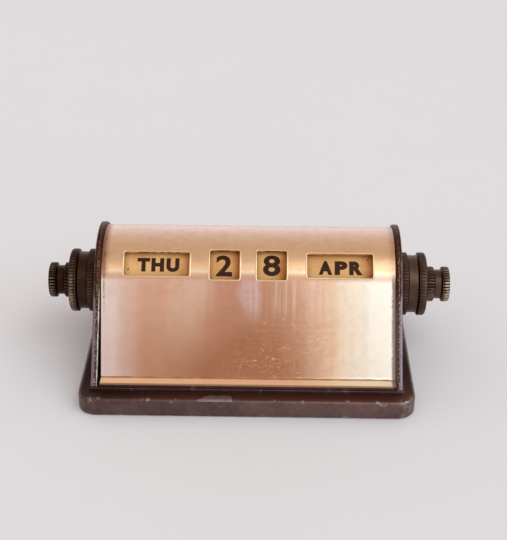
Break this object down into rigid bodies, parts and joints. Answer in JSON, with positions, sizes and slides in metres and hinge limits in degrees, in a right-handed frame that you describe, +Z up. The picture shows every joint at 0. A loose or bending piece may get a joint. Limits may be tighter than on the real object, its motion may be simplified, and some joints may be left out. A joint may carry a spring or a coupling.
{
  "type": "perpetual desk calendar",
  "caption": "Perpetual desk calendar: a bent copper hood on a dark bronze base, with printed day, date and month drums turned by coaxial knurled knobs at the sides.",
  "frame": {"origin": "centre of the base's footprint, on the table", "axes": "+X to the right along the drums' axis, +Y to the back, +Z up"},
  "size_m": [0.1498, 0.076, 0.0494],
  "materials": {
    "dark_bronze": "dark brown bronze patina, rubbed to grey metal along the edges",
    "plate_bronze": "dark bronze patina with bright pitted rims",
    "worn_bronze": "grey-brown worn bronze, satin",
    "copper": "satin rubbed copper, golden over the curve, finely scratched",
    "knob_bronze": "black-brown oxidised brass, rubbed bright on the knurls",
    "brass": "dull turned brass",
    "steel": "dull drawn steel",
    "drum_tin": "dull tinned sheet",
    "printed_strip": "yellowed ivory strip printed in dark brown",
    "felt": "dark green felt"
  },
  "bodies": {
    "case": {"base": "dark_bronze", "base_pad": "felt", "base_screws": "steel", "floor_plate": "worn_bronze", "left_end_plate": "plate_bronze", "right_end_plate": "plate_bronze", "cover": "copper", "left_bush": "brass", "right_bush": "brass", "left_washer": "steel", "right_washer": "steel", "centre_bracket": "brass"},
    "day_roller": {"day_knob": "knob_bronze", "day_sleeve": "brass", "day_drum": "drum_tin", "day_strip": "printed_strip"},
    "tens_roller": {"tens_knob": "knob_bronze", "tens_shaft": "steel", "tens_drum": "drum_tin", "tens_strip": "printed_strip"},
    "units_roller": {"units_knob": "knob_bronze", "units_shaft": "steel", "units_drum": "drum_tin", "units_strip": "printed_strip"},
    "month_roller": {"month_knob": "knob_bronze", "month_sleeve": "brass", "month_drum": "drum_tin", "month_strip": "printed_strip"}
  },
  "joints": [
    {"name": "day_turn", "type": "hinge", "parent": "case", "child": "day_roller", "pos_m": [0, 0.01031, 0.0272], "axis": [1, 0, 0], "continuous": true},
    {"name": "tens_turn", "type": "hinge", "parent": "case", "child": "tens_roller", "pos_m": [0, 0.01031, 0.0272], "axis": [1, 0, 0], "continuous": true},
    {"name": "units_turn", "type": "hinge", "parent": "case", "child": "units_roller", "pos_m": [0, 0.01031, 0.0272], "axis": [1, 0, 0], "continuous": true},
    {"name": "month_turn", "type": "hinge", "parent": "case", "child": "month_roller", "pos_m": [0, 0.01031, 0.0272], "axis": [1, 0, 0], "continuous": true}
  ]
}
